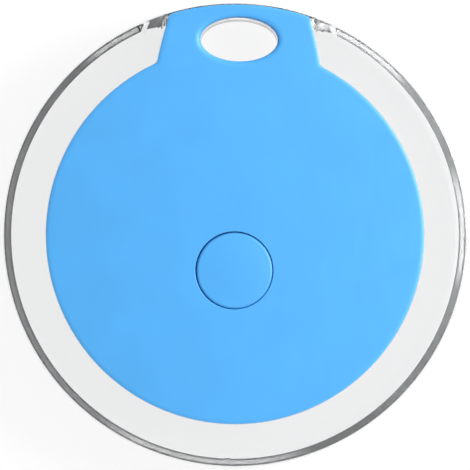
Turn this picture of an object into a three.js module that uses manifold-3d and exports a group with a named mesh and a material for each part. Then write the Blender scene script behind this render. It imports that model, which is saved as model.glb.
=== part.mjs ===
// A coin-shaped bluetooth tracker tag that lies on its back.
// Units are millimetres, +Z points out of the front face and +Y points at the key-ring tongue.
// The origin is the middle of the rear face.
import * as THREE from "three";
import { mergeVertices } from "three/addons/utils/BufferGeometryUtils.js";
import Module from "manifold-3d";

const wasm = await Module();
wasm.setup();

// Overall size.
const TAG_RADIUS = 21;
const TAG_THICKNESS = 9;

// Front cover: a disc with a tongue that reaches the outer edge.
const COVER_RADIUS = 17.1;
const COVER_PROUD = 0.4; // how far each cover stands out of the clear frame
const COVER_PLATE = 1.0;
const COVER_RIM = 1.6; // thickness of the front cover where it sits on the frame
const COVER_EDGE = 0.4; // rounding of its outer edge
const COVER_CLEARANCE = 0.15;
const TONGUE_BASE = 7.36; // half-width where the tongue leaves the disc
const TONGUE_TIP = 6.5; // half-width at the outer edge
const TONGUE_RADIUS = 20.88; // radius of the tongue's outer arc
const TONGUE_CORNER = 0.5;

// Inner frame: a ring that both covers plug into and that carries the board on a ledge.
const INNER_FRAME_OUTER = 16.05;
const INNER_FRAME_BORE = 15.05;
const INNER_FRAME_BOTTOM = 0.1;
const INNER_FLANGE = 16.7; // radius of the flange that the clear frame rests on
const LEDGE_BORE = 14.2;
const LEDGE_HEIGHT = 0.8;

// Spigots of the covers, which fit inside the inner frame. The rear cover is as wide as its spigot.
const SPIGOT_OUTER = INNER_FRAME_BORE - 0.1;
const SPIGOT_INNER = 14.35;

// Clear frame.
const FRAME_BOTTOM = COVER_PROUD;
const FRAME_TOP = TAG_THICKNESS - COVER_PROUD;
const FRAME_BORE = INNER_FRAME_OUTER + COVER_CLEARANCE;
const FRAME_FRONT_EDGE = 0.15; // chamfers of the outer edges
const FRAME_REAR_EDGE = 0.45;

// Relief at the rear, where a key ring swings: a 45 degree cone with a flat rib across each end.
const RELIEF_CENTRE = -17.33; // y of the cone's axis
const RELIEF_RADIUS = 36.6; // at z = 0
const RIB_X = 8.57;
const RIB_Y = 18.97;
const RIB_WIDTH = 0.4;
const RIB_LENGTH = 1.6;
const RIB_LEAN = 21.5; // degrees towards the tongue

// Key-ring hole, an ellipse through covers and frame.
const HOLE_CENTRE = 17.7;
const HOLE_HALF_WIDTH = 3.5;
const HOLE_HALF_HEIGHT = 2.0;
const HOLE_WALL = 1.1;
const HOLE_EDGE = 0.35; // widening of its mouth, front and rear
const HOLE_REAR_EDGE = 0.2;

// Plane where the front cover sits on the frame.
const FRONT_SEAT = TAG_THICKNESS - COVER_RIM;

// Circuit board, held between the ledge and the front cover's spigot.
const BOARD_RADIUS = 14.9;
const BOARD_BOTTOM = 4.8;
const BOARD_TOP = 5.6;
const BOARD_SLACK = 0.1;
const BOARD_KEY = 0.9; // half-width of the rib that stops the board from turning
const BOARD_KEY_REACH = 13.9;

// Button in the front cover, over the switch.
const BUTTON_Y = -3.2;
const BUTTON_RADIUS = 3.35;
const BUTTON_OPENING = 3.55;
const BUTTON_FLANGE = 3.95;
const BUTTON_FLANGE_TOP = 7.9;
const BUTTON_FLANGE_BOTTOM = 7.6;
const BUTTON_POST = 1.0;
const BUTTON_POST_END = 7.15;
const BUTTON_EDGE = 0.12;

// Tactile switch, heights above the board.
const SWITCH_SIZE = 5.1;
const SWITCH_BASE_HEIGHT = 0.9;
const SWITCH_FLOOR = 0.25;
const SWITCH_CAVITY = 2.0;
const SWITCH_PLATE = 0.15;
const PLUNGER_RADIUS = 1.1;
const PLUNGER_FLANGE = 1.75;
const PLUNGER_TOP = 1.5;

// Coin cell, 20 mm across and 3.2 mm thick.
const CELL_RADIUS = 10;
const CELL_BOTTOM = 1.3;
const CELL_HEIGHT = 3.2;
const CELL_SHEET = 0.25;
const CELL_CAP_RADIUS = 8.9;

// Sprung strap under the cell and the leaf above it.
const STRAP_WIDTH = 7;
const STRAP_SHEET = 0.2;
const STRAP_REACH = 10.4;

// How finely round shapes are cut.
const FINE = 80;
const MEDIUM = 40;
const SMALL = 20;
const OUTLINE = 6; // steps along each curve of a cover's outline, twice that on an arc
const DISC_ARCS = 5; // arcs that the disc's edge is made of

const COLOURS = {
  coverBlue: { color: 0x5fb8fb, roughness: 0.42, metalness: 0 },
  clearPlastic: { color: 0xeeeeee, roughness: 0.06, metalness: 0 },
  boardGreen: { color: 0x1d5c38, roughness: 0.45, metalness: 0 },
  steel: { color: 0xb9bbbd, roughness: 0.3, metalness: 1 },
  springSteel: { color: 0xc9c4b6, roughness: 0.35, metalness: 1 },
  gold: { color: 0xc9953c, roughness: 0.3, metalness: 1 },
  blackPlastic: { color: 0x1b1b1d, roughness: 0.55, metalness: 0 },
  innerGrey: { color: 0x959697, roughness: 0.5, metalness: 0 },
  gasketGrey: { color: 0x6f7276, roughness: 0.7, metalness: 0 },
  cellCore: { color: 0x2e2c2a, roughness: 0.9, metalness: 0 },
  ceramicTan: { color: 0xa58a66, roughness: 0.6, metalness: 0 },
  ledWhite: { color: 0xf3efdc, roughness: 0.4, metalness: 0 },
  ferrite: { color: 0x3a3a3e, roughness: 0.8, metalness: 0 },
};

// ---- solids and geometries ----

function solidOf(geometry) {
  const bare = geometry.clone();
  bare.deleteAttribute("normal");
  bare.deleteAttribute("uv");
  const merged = mergeVertices(bare, 1e-4);
  const mesh = new wasm.Mesh({
    numProp: 3,
    vertProperties: new Float32Array(merged.attributes.position.array),
    triVerts: new Uint32Array(merged.index.array),
  });
  return new wasm.Manifold(mesh);
}

function geometryOf(solid) {
  const mesh = solid.getMesh();
  const indexed = new THREE.BufferGeometry();
  indexed.setAttribute("position", new THREE.BufferAttribute(mesh.vertProperties, 3));
  indexed.setIndex(new THREE.BufferAttribute(mesh.triVerts, 1));
  const flat = indexed.toNonIndexed();
  flat.computeVertexNormals();
  return flat;
}

// A closed ring or disc turned about Z from [radius, z] points that run counter-clockwise.
function turned(points, segments = FINE) {
  const profile = points.map(([radius, z]) => new THREE.Vector2(radius, z));
  const onAxis = points[0][0] === 0;
  if (!onAxis) {
    profile.push(profile[0].clone());
  }
  const geometry = new THREE.LatheGeometry(profile, segments);
  return solidOf(geometry.rotateX(Math.PI / 2));
}

function disc(radius, bottom, top, segments = FINE) {
  return turned([[0, bottom], [radius, bottom], [radius, top], [0, top]], segments);
}

function ring(inner, outer, bottom, top, segments = FINE) {
  return turned([[inner, bottom], [outer, bottom], [outer, top], [inner, top]], segments);
}

// A block centred on x and y that stands on its bottom plane.
function block(width, depth, bottom, top, x = 0, y = 0) {
  const geometry = new THREE.BoxGeometry(width, depth, top - bottom);
  return solidOf(geometry.translate(x, y, (bottom + top) / 2));
}

function extruded(shape, bottom, top, curveSegments = OUTLINE) {
  const options = { depth: top - bottom, bevelEnabled: false, curveSegments };
  const geometry = new THREE.ExtrudeGeometry(shape, options);
  return solidOf(geometry.translate(0, 0, bottom));
}

// An extrusion whose upper edges are rounded and whose lower edges stay square.
function extrudedRoundTop(shape, bottom, top, edge, curveSegments = OUTLINE) {
  const options = {
    depth: top - bottom - 2 * edge,
    bevelEnabled: true,
    bevelThickness: edge,
    bevelSize: edge,
    bevelOffset: -edge,
    bevelSegments: 2,
    curveSegments,
  };
  const geometry = new THREE.ExtrudeGeometry(shape, options).translate(0, 0, bottom + edge);
  const rounded = solidOf(geometry);
  const square = extruded(shape, bottom, top - edge, curveSegments);
  return rounded.add(square);
}

// ---- outlines ----

function holeEllipse(path, grow) {
  const halfWidth = HOLE_HALF_WIDTH + grow;
  const halfHeight = HOLE_HALF_HEIGHT + grow;
  path.absellipse(0, HOLE_CENTRE, halfWidth, halfHeight, 0, 2 * Math.PI, false, 0);
  return path;
}

// A column with the outline of the key-ring hole, grown outwards.
function holeColumn(grow, bottom, top) {
  return extruded(holeEllipse(new THREE.Shape(), grow), bottom, top, SMALL);
}

// Outline of a cover: the disc, then up one side of the tongue, its outer arc and down the other.
function coverOutline(grow, tongueRadius) {
  const radius = COVER_RADIUS + grow;
  const base = TONGUE_BASE + grow;
  const tip = TONGUE_TIP + grow;
  const baseAngle = Math.acos(base / radius);
  const tipY = Math.sqrt(tongueRadius ** 2 - tip ** 2);
  const tipAngle = Math.acos((tip - TONGUE_CORNER) / tongueRadius);
  const baseY = radius * Math.sin(baseAngle);
  const middleY = (baseY + tipY) / 2;
  const bulge = (base + tip) / 2 + 0.1; // the sides are very slightly bowed
  const shape = new THREE.Shape();
  const sweep = (Math.PI + 2 * baseAngle) / DISC_ARCS;
  shape.moveTo(-base, baseY);
  for (let i = 0; i < DISC_ARCS; i += 1) {
    const from = Math.PI - baseAngle + i * sweep;
    shape.absarc(0, 0, radius, from, from + sweep, false);
  }
  shape.quadraticCurveTo(bulge, middleY, tip, tipY - TONGUE_CORNER);
  shape.quadraticCurveTo(
    tip,
    tipY,
    tongueRadius * Math.cos(tipAngle),
    tongueRadius * Math.sin(tipAngle),
  );
  shape.absarc(0, 0, tongueRadius, tipAngle, Math.PI - tipAngle, false);
  shape.quadraticCurveTo(-tip, tipY, -tip, tipY - TONGUE_CORNER);
  shape.quadraticCurveTo(-bulge, middleY, -base, baseY);
  return shape;
}

// ---- covers, button and frame ----

// A mouth of the key-ring hole: a column 1 mm high that narrows to the hole over an edge at both ends.
function holeMouth(bottom, edge) {
  const options = {
    depth: 1,
    bevelEnabled: true,
    bevelThickness: edge,
    bevelSize: edge,
    bevelOffset: 0,
    bevelSegments: 1,
    curveSegments: SMALL,
  };
  const column = holeEllipse(new THREE.Shape(), 0);
  const geometry = new THREE.ExtrudeGeometry(column, options);
  return solidOf(geometry.translate(0, 0, bottom));
}

function frontCover() {
  const ceiling = TAG_THICKNESS - COVER_PLATE;
  const spigotBottom = BOARD_TOP + BOARD_SLACK;
  const outline = coverOutline(0, TONGUE_RADIUS);
  const plate = extrudedRoundTop(outline, FRONT_SEAT, TAG_THICKNESS, COVER_EDGE);
  const pocket = disc(SPIGOT_INNER, FRONT_SEAT - 1, ceiling);
  const holeBoss = holeColumn(HOLE_WALL, FRONT_SEAT - 1, TAG_THICKNESS);
  const spigot = ring(SPIGOT_INNER, SPIGOT_OUTER, spigotBottom, ceiling);
  const spigotGap = holeColumn(HOLE_WALL + 2 * COVER_CLEARANCE, 0, FRONT_SEAT);
  const opening = disc(BUTTON_OPENING, 0, TAG_THICKNESS + 1, MEDIUM).translate([0, BUTTON_Y, 0]);
  return geometryOf(
    plate
      .subtract(pocket.subtract(holeBoss))
      .add(spigot.subtract(spigotGap))
      .subtract(holeColumn(0, 0, TAG_THICKNESS + 1))
      .subtract(holeMouth(TAG_THICKNESS, HOLE_EDGE))
      .subtract(opening),
  );
}

function rearCover() {
  const cradleInner = CELL_RADIUS + 0.25;
  const cradleOuter = cradleInner + 0.8;
  const cradleTop = 3.6;
  const floorTop = COVER_PLATE;
  const spigotTop = BOARD_BOTTOM - LEDGE_HEIGHT - BOARD_SLACK;
  const plate = turned([
    [0, 0],
    [SPIGOT_OUTER - COVER_EDGE, 0],
    [SPIGOT_OUTER, COVER_EDGE],
    [SPIGOT_OUTER, floorTop],
    [0, floorTop],
  ]);
  const spigot = ring(SPIGOT_INNER, SPIGOT_OUTER, floorTop - 0.1, spigotTop);
  const cradle = ring(cradleInner, cradleOuter, floorTop - 0.1, cradleTop);
  const strapGap = block(3 * CELL_RADIUS, STRAP_WIDTH + 2, floorTop - 0.05, cradleTop + 1);
  const bite = holeColumn(HOLE_WALL + 2 * COVER_CLEARANCE, -1, spigotTop + 1);
  const strapWindow = strapGap.intersect(disc(cradleOuter + 1, 0, TAG_THICKNESS));
  const pryNotch = block(5, 1.4, -1, 0.6, 0, -SPIGOT_OUTER);
  return geometryOf(
    plate
      .add(spigot)
      .add(cradle.subtract(strapWindow))
      .subtract(bite)
      .subtract(pryNotch),
  );
}

function buttonCap() {
  const hollow = BUTTON_RADIUS - 0.8;
  return geometryOf(
    turned(
      [
        [0, BUTTON_POST_END],
        [BUTTON_POST, BUTTON_POST_END],
        [BUTTON_POST, BUTTON_FLANGE_TOP],
        [hollow, BUTTON_FLANGE_TOP],
        [hollow, BUTTON_FLANGE_BOTTOM],
        [BUTTON_FLANGE, BUTTON_FLANGE_BOTTOM],
        [BUTTON_FLANGE, BUTTON_FLANGE_TOP],
        [BUTTON_RADIUS, BUTTON_FLANGE_TOP],
        [BUTTON_RADIUS, TAG_THICKNESS - BUTTON_EDGE],
        [BUTTON_RADIUS - BUTTON_EDGE, TAG_THICKNESS],
        [0, TAG_THICKNESS],
      ],
      MEDIUM,
    ),
  );
}

// Everything outside the relief's cone, which opens upwards at 45 degrees.
function reliefCut() {
  const segments = 2 * FINE;
  const reach = 4; // past the outer edge of the frame
  const profile = [
    [RELIEF_RADIUS - 1, -1],
    [RELIEF_RADIUS + reach, -1],
    [RELIEF_RADIUS + reach, reach],
  ];
  return turned(profile, segments).translate([0, RELIEF_CENTRE, 0]);
}

// A rib that fills the relief and the frame's chamfer down to the rear face; side is -1 or 1.
function reliefRib(side) {
  const rib = block(RIB_WIDTH, RIB_LENGTH, FRAME_BOTTOM, FRAME_BOTTOM + 1);
  const turnedRib = rib.rotate([0, 0, side * RIB_LEAN]);
  const placed = turnedRib.translate([side * RIB_X, RIB_Y, 0]);
  return placed.intersect(disc(TAG_RADIUS, 0, TAG_THICKNESS));
}

function clearFrame() {
  const body = turned([
    [FRAME_BORE, FRAME_BOTTOM],
    [TAG_RADIUS - FRAME_REAR_EDGE, FRAME_BOTTOM],
    [TAG_RADIUS, FRAME_BOTTOM + FRAME_REAR_EDGE],
    [TAG_RADIUS, FRAME_TOP - FRAME_FRONT_EDGE],
    [TAG_RADIUS - FRAME_FRONT_EDGE, FRAME_TOP],
    [FRAME_BORE, FRAME_TOP],
  ]);
  const boss = holeColumn(HOLE_WALL, FRAME_BOTTOM, FRONT_SEAT);
  const outline = coverOutline(COVER_CLEARANCE, TAG_RADIUS + 1);
  const seat = extruded(outline, FRONT_SEAT, TAG_THICKNESS);
  return geometryOf(
    body
      .subtract(seat)
      .add(boss)
      .subtract(reliefCut())
      .add(reliefRib(-1))
      .add(reliefRib(1))
      .subtract(holeColumn(0, 0, TAG_THICKNESS))
      .subtract(holeMouth(FRAME_BOTTOM - 1, HOLE_REAR_EDGE)),
  );
}

// The ring that the covers plug into, open where the key-ring hole passes. Its flange holds the clear frame.
function innerFrame() {
  const top = FRONT_SEAT - BOARD_SLACK;
  const ledgeBottom = BOARD_BOTTOM - LEDGE_HEIGHT;
  const flangeTop = FRAME_BOTTOM - 0.05;
  const wall = ring(INNER_FRAME_BORE, INNER_FRAME_OUTER, INNER_FRAME_BOTTOM, top);
  const flange = ring(INNER_FRAME_BORE, INNER_FLANGE, INNER_FRAME_BOTTOM, flangeTop);
  const ledge = ring(LEDGE_BORE, INNER_FRAME_BORE + 0.2, ledgeBottom, BOARD_BOTTOM);
  const keyDepth = INNER_FRAME_BORE - BOARD_KEY_REACH + 0.2;
  const keyY = -BOARD_KEY_REACH - keyDepth / 2;
  const key = block(2 * BOARD_KEY, keyDepth, ledgeBottom, BOARD_TOP - BOARD_SLACK, 0, keyY);
  const gap = holeColumn(HOLE_WALL + 2 * COVER_CLEARANCE, 0, TAG_THICKNESS);
  return geometryOf(wall.add(flange).add(ledge).add(key).subtract(gap));
}

// ---- power ----

// The pieces of the coin cell stand on z = 0, with the positive can down.
function cellCan() {
  const wallTop = CELL_HEIGHT - 0.2;
  const inside = CELL_RADIUS - CELL_SHEET;
  const lip = CELL_CAP_RADIUS + 0.4;
  return geometryOf(
    turned([
      [0, 0],
      [CELL_RADIUS - 0.2, 0],
      [CELL_RADIUS, 0.2],
      [CELL_RADIUS, wallTop - 0.15],
      [CELL_RADIUS - 0.15, wallTop],
      [lip, wallTop],
      [lip, wallTop - CELL_SHEET],
      [inside, wallTop - CELL_SHEET],
      [inside, CELL_SHEET],
      [0, CELL_SHEET],
    ], MEDIUM),
  );
}

function cellCore() {
  return geometryOf(disc(CELL_CAP_RADIUS - 0.5, CELL_SHEET, CELL_HEIGHT - CELL_SHEET));
}

function cellGasket() {
  const sealTop = CELL_HEIGHT - 0.15;
  return geometryOf(ring(CELL_CAP_RADIUS + 0.05, CELL_CAP_RADIUS + 0.35, CELL_SHEET, sealTop));
}

function cellCap() {
  const inside = CELL_CAP_RADIUS - CELL_SHEET;
  return geometryOf(
    turned([
      [0, CELL_HEIGHT - CELL_SHEET],
      [inside, CELL_HEIGHT - CELL_SHEET],
      [inside, CELL_SHEET + 0.4],
      [CELL_CAP_RADIUS, CELL_SHEET + 0.4],
      [CELL_CAP_RADIUS, CELL_HEIGHT - 0.15],
      [CELL_CAP_RADIUS - 0.15, CELL_HEIGHT],
      [0, CELL_HEIGHT],
    ]),
  );
}

// A strap that runs under the cell and stands up on both sides to the board.
function batteryClip() {
  const bottom = CELL_BOTTOM - STRAP_SHEET;
  const inner = STRAP_REACH - STRAP_SHEET;
  const band = new THREE.Shape();
  band.moveTo(-STRAP_REACH, bottom);
  band.lineTo(STRAP_REACH, bottom);
  band.lineTo(STRAP_REACH, BOARD_BOTTOM);
  band.lineTo(inner, BOARD_BOTTOM);
  band.lineTo(inner, CELL_BOTTOM);
  band.lineTo(-inner, CELL_BOTTOM);
  band.lineTo(-inner, BOARD_BOTTOM);
  band.lineTo(-STRAP_REACH, BOARD_BOTTOM);
  const options = { depth: STRAP_WIDTH, bevelEnabled: false };
  const geometry = new THREE.ExtrudeGeometry(band, options);
  geometry.rotateX(Math.PI / 2);
  return geometryOf(solidOf(geometry.translate(0, STRAP_WIDTH / 2, 0)));
}

// A leaf soldered under the board whose dimple presses on the cell's cap.
function negativeContact() {
  const cellTop = CELL_BOTTOM + CELL_HEIGHT;
  const leaf = block(8, 4, BOARD_BOTTOM - 0.15, BOARD_BOTTOM);
  const dimple = disc(1.2, cellTop, BOARD_BOTTOM - 0.1, SMALL);
  return geometryOf(leaf.add(dimple));
}

// ---- board and the parts on it; heights are measured from the board's top face ----

function circuitBoard() {
  const slotWidth = 2 * BOARD_KEY + 0.4;
  const slotDepth = 2 * (BOARD_RADIUS - BOARD_KEY_REACH + 0.2);
  const keySlot = block(slotWidth, slotDepth, BOARD_BOTTOM - 1, BOARD_TOP + 1, 0, -BOARD_RADIUS);
  return geometryOf(
    disc(BOARD_RADIUS, BOARD_BOTTOM, BOARD_TOP)
      .subtract(holeColumn(HOLE_WALL + 0.5, BOARD_BOTTOM - 1, BOARD_TOP + 1))
      .subtract(keySlot),
  );
}

function switchBase() {
  const cavity = disc(SWITCH_CAVITY, SWITCH_FLOOR, SWITCH_BASE_HEIGHT + 1, SMALL);
  return geometryOf(block(SWITCH_SIZE, SWITCH_SIZE, 0, SWITCH_BASE_HEIGHT).subtract(cavity));
}

function switchCover() {
  const top = SWITCH_BASE_HEIGHT + SWITCH_PLATE;
  const tabX = (SWITCH_SIZE + SWITCH_PLATE) / 2;
  const plate = block(SWITCH_SIZE + 2 * SWITCH_PLATE, SWITCH_SIZE, SWITCH_BASE_HEIGHT, top);
  const tabs = [-tabX, tabX].map((x) => block(SWITCH_PLATE, 1.6, 0.3, top, x));
  const opening = disc(PLUNGER_RADIUS + 0.15, 0, top + 1, SMALL);
  return geometryOf(plate.add(tabs[0]).add(tabs[1]).subtract(opening));
}

// A shallow snap dome: two arcs of the same rise, one sheet thickness apart.
function switchDome() {
  const radius = SWITCH_CAVITY - 0.3;
  const rise = 0.12;
  const sheet = 0.08;
  const steps = 4;
  const arc = (lift) =>
    Array.from({ length: steps + 1 }, (_, i) => {
      const share = i / steps;
      return [radius * share, SWITCH_FLOOR + lift + rise * (1 - share ** 2)];
    });
  return geometryOf(turned([...arc(0), ...arc(sheet).reverse()], SMALL));
}

function switchPlunger() {
  const flangeTop = SWITCH_BASE_HEIGHT - 0.01;
  return geometryOf(
    turned(
      [
        [0, flangeTop - 0.12],
        [PLUNGER_FLANGE, flangeTop - 0.12],
        [PLUNGER_FLANGE, flangeTop],
        [PLUNGER_RADIUS, flangeTop],
        [PLUNGER_RADIUS, PLUNGER_TOP],
        [0, PLUNGER_TOP],
      ],
      SMALL,
    ),
  );
}

// A square sounder, open below, with a step in its bore that the diaphragm rests against.
const BUZZER_SIZE = 9;
const BUZZER_HEIGHT = 1.6;
const BUZZER_STEP = 0.8;
const BUZZER_BORE = 4.1;

function buzzerCase() {
  const lid = 0.4;
  return geometryOf(
    block(BUZZER_SIZE, BUZZER_SIZE, 0, BUZZER_HEIGHT)
      .subtract(disc(BUZZER_BORE, -1, BUZZER_STEP, MEDIUM))
      .subtract(disc(BUZZER_BORE - 0.3, 0, BUZZER_HEIGHT - lid, MEDIUM))
      .subtract(disc(0.8, 0, BUZZER_HEIGHT + 1, SMALL)),
  );
}

function buzzerDiaphragm() {
  return geometryOf(disc(BUZZER_BORE - 0.05, BUZZER_STEP - 0.2, BUZZER_STEP, MEDIUM));
}

// A meandering antenna of copper: upright strokes joined in turn at the top and at the bottom.
function antennaTrace() {
  const strokes = 7;
  const pitch = 1.15;
  const line = 0.4;
  const height = 3;
  const thickness = 0.06;
  let trace = block(line, height, 0, thickness);
  for (let i = 1; i < strokes; i += 1) {
    const linkY = ((i % 2 ? 1 : -1) * (height - line)) / 2;
    const stroke = block(line, height, 0, thickness, i * pitch);
    const link = block(pitch, line, 0, thickness, (i - 0.5) * pitch, linkY);
    trace = trace.add(stroke).add(link);
  }
  return geometryOf(trace);
}

function crystal() {
  return geometryOf(block(2.5, 3.2, 0, 0.35).add(block(2.1, 2.8, 0.3, 0.7)));
}

function transistor() {
  let body = block(2.9, 1.3, 0.1, 1.1);
  const legs = [[-0.95, -1], [0.95, -1], [0, 1]];
  for (const [x, side] of legs) {
    body = body.add(block(0.4, 0.7, 0, 0.25, x, side * 0.9));
  }
  return geometryOf(body);
}

function wirewoundInductor() {
  return geometryOf(block(3, 3, 0, 0.2).add(disc(1.35, 0.1, 1.2, SMALL)));
}

function chip(width, depth, height) {
  return () => geometryOf(block(width, depth, 0, height));
}

// ---- the assembly ----

function piece(name, look, geometry, x = 0, y = 0, z = 0) {
  const mesh = new THREE.Mesh(geometry, new THREE.MeshStandardMaterial(COLOURS[look]));
  mesh.name = name;
  mesh.position.set(x, y, z);
  return mesh;
}

function coinCell() {
  const cell = new THREE.Group();
  cell.position.z = CELL_BOTTOM;
  cell.add(
    piece("coin_cell_can", "steel", cellCan()),
    piece("coin_cell_core", "cellCore", cellCore()),
    piece("coin_cell_gasket", "gasketGrey", cellGasket()),
    piece("coin_cell_cap", "steel", cellCap()),
  );
  return cell;
}

function tactileSwitch() {
  const unit = new THREE.Group();
  unit.position.y = BUTTON_Y;
  unit.add(
    piece("switch_base", "blackPlastic", switchBase()),
    piece("switch_cover", "steel", switchCover()),
    piece("switch_dome", "springSteel", switchDome()),
    piece("switch_plunger", "blackPlastic", switchPlunger()),
  );
  return unit;
}

function buzzer() {
  const unit = new THREE.Group();
  unit.position.set(6.7, 4.4, 0);
  unit.add(
    piece("buzzer_case", "blackPlastic", buzzerCase()),
    piece("buzzer_diaphragm", "gold", buzzerDiaphragm()),
  );
  return unit;
}

// Small parts on the board: name, look, shape and place.
const BOARD_PARTS = [
  ["ble_chip", "blackPlastic", chip(5, 5, 0.85), -7.6, 3.2],
  ["crystal", "steel", crystal, -12.0, 3.2],
  ["antenna_trace", "gold", antennaTrace, -8.0, 10.0],
  ["rf_inductor", "ferrite", chip(1, 0.5, 0.5), -8.2, 7.4],
  ["buzzer_inductor", "ferrite", wirewoundInductor, 8.2, -3.4],
  ["buzzer_transistor", "blackPlastic", transistor, 8.2, -7.4],
  ["status_led", "ledWhite", chip(1.6, 0.8, 0.6), 0, -8.2],
];
const CAPACITORS = [[-6.4, 7.4], [-4.6, 7.4], [-12, 0.4], [-12, -1.0], [-6, -8.5], [-6, -10.2]];
const RESISTORS = [[-3.4, 4.8], [-3.4, 3.2], [4.8, -7.4], [4.8, -9.0]];

function boardParts() {
  const parts = new THREE.Group();
  parts.position.z = BOARD_TOP;
  for (const [name, look, shape, x, y] of BOARD_PARTS) {
    parts.add(piece(name, look, shape(), x, y));
  }
  CAPACITORS.forEach(([x, y], i) => {
    parts.add(piece(`capacitor_${i + 1}`, "ceramicTan", chip(1, 0.5, 0.5)(), x, y));
  });
  RESISTORS.forEach(([x, y], i) => {
    parts.add(piece(`resistor_${i + 1}`, "blackPlastic", chip(1, 0.5, 0.35)(), x, y));
  });
  parts.add(tactileSwitch(), buzzer());
  return parts;
}

function tag() {
  const group = new THREE.Group();
  group.add(
    piece("front_cover", "coverBlue", frontCover()),
    piece("button_cap", "coverBlue", buttonCap(), 0, BUTTON_Y),
    piece("clear_frame", "clearPlastic", clearFrame()),
    piece("rear_cover", "coverBlue", rearCover()),
    piece("inner_frame", "innerGrey", innerFrame()),
    piece("circuit_board", "boardGreen", circuitBoard()),
    piece("battery_clip", "springSteel", batteryClip()),
    piece("negative_contact", "springSteel", negativeContact()),
    coinCell(),
    boardParts(),
  );
  return group;
}

export default tag();
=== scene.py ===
import math

import bmesh
import bpy
from mathutils import Matrix, Vector

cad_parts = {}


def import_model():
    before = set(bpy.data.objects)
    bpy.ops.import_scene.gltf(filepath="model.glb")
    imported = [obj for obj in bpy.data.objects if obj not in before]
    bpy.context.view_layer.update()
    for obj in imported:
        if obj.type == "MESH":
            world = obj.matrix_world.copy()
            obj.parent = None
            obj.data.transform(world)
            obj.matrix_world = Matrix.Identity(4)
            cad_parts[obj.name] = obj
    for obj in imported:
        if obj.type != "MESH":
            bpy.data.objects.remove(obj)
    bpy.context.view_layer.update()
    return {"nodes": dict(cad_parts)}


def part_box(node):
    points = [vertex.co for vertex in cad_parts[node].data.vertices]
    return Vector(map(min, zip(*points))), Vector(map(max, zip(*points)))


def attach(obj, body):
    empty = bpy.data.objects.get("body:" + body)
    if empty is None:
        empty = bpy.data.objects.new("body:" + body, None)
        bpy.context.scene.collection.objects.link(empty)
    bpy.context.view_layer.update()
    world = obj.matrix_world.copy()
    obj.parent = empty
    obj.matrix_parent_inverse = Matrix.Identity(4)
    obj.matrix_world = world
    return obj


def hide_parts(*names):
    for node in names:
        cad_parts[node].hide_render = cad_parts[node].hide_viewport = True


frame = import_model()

MM = 0.001
ORIGIN = (0.0, 0.0, 0.0)

# ---- sizes, in metres ----

COVER_LOW, COVER_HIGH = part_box("front_cover")
FRAME_LOW, FRAME_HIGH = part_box("clear_frame")
BUTTON_LOW, BUTTON_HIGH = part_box("button_cap")
INNER_LOW, INNER_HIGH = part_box("inner_frame")
BOARD_LOW, BOARD_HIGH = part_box("circuit_board")

TAG_TOP = COVER_HIGH.z
FRAME_RADIUS = FRAME_HIGH.x
COVER_RADIUS = COVER_HIGH.x
TONGUE_RADIUS = COVER_HIGH.y - 0.05 * MM  # just inside the frame's edge
BOARD_TOP = BOARD_HIGH.z
BUTTON_CENTRE = (BUTTON_LOW.y + BUTTON_HIGH.y) / 2

# Front cover.
COVER_RIM = 1.6 * MM
COVER_PLATE = 1.0 * MM
COVER_EDGE = 0.4 * MM
COVER_DIP = 0.1 * MM
COVER_GAP = 0.06 * MM  # what shows between the cover and the clear frame
TONGUE_BASE = 7.36 * MM
TONGUE_TIP = 6.5 * MM
TONGUE_CORNER = 0.55 * MM
TONGUE_BOW = 0.1 * MM
THROAT = 0.35 * MM  # small round where the tongue leaves the disc
THROAT_LEAN = 0.12  # how far the tongue's side leans in along the round
SPIGOT_OUTER = 14.95 * MM
SPIGOT_INNER = 14.35 * MM
FRONT_SEAT = TAG_TOP - COVER_RIM

# Key-ring hole.
HOLE_CENTRE = 17.7 * MM
HOLE_HALF_WIDTH = 3.5 * MM
HOLE_HALF_HEIGHT = 2.0 * MM
HOLE_WALL = 1.1 * MM
HOLE_EDGE = 0.55 * MM
HOLE_DIP = 0.32 * MM
HOLE_ROOM = HOLE_WALL + 0.2 * MM  # what the covers and the inner frame leave for the hole's wall
SLEEVE_WALL = 0.25 * MM  # the sleeve lines the rear half of the hole
SLEEVE_TOP = 4.4 * MM
SLEEVE_GAP = 0.01 * MM

# Inner frame.
INNER_RADIUS = 16.05 * MM
INNER_BORE = 15.05 * MM
INNER_FLANGE_TOP = FRAME_LOW.z - 0.05 * MM
LEDGE_BORE = 14.2 * MM
LEDGE_HEIGHT = 0.8 * MM
KEY_HALF_WIDTH = 0.9 * MM
KEY_REACH = 13.9 * MM
KEY_DROP = 0.1 * MM  # how far the key stays below the board's top

# Clear frame.
FRAME_BORE = 16.2 * MM
FRAME_EDGE = 0.15 * MM  # round of the front edge
FRAME_CHAMFER = 0.48 * MM  # of the rear edge
LIP_WIDTH = 0.16 * MM  # shallow bevel round the cover's seat
LIP_DEPTH = 0.05 * MM

# Relief at the rear of the tongue: a cone about a point far below the tag, with a rib across each end.
RELIEF_CENTRE = -17.33 * MM
RELIEF_RADIUS = 36.6 * MM
RIB_X = 8.57 * MM
RIB_Y = 18.97 * MM
RIB_WIDTH = 0.4 * MM
RIB_LENGTH = 1.6 * MM
RIB_LEAN = math.radians(21.5)

# Button.
BUTTON_RADIUS = 3.45 * MM
BUTTON_OPENING = 3.52 * MM
BUTTON_FLANGE = 3.95 * MM
BUTTON_FLANGE_TOP = 7.9 * MM
BUTTON_FLANGE_BOTTOM = 7.6 * MM
BUTTON_POST = 1.0 * MM
BUTTON_WALL = 0.8 * MM
BUTTON_EDGE = 0.24 * MM
BUTTON_REST = (0.035 * MM, BUTTON_CENTRE - 0.02 * MM)  # it rests a little to one side in its opening
GROOVE_EDGE = 0.06 * MM

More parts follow.
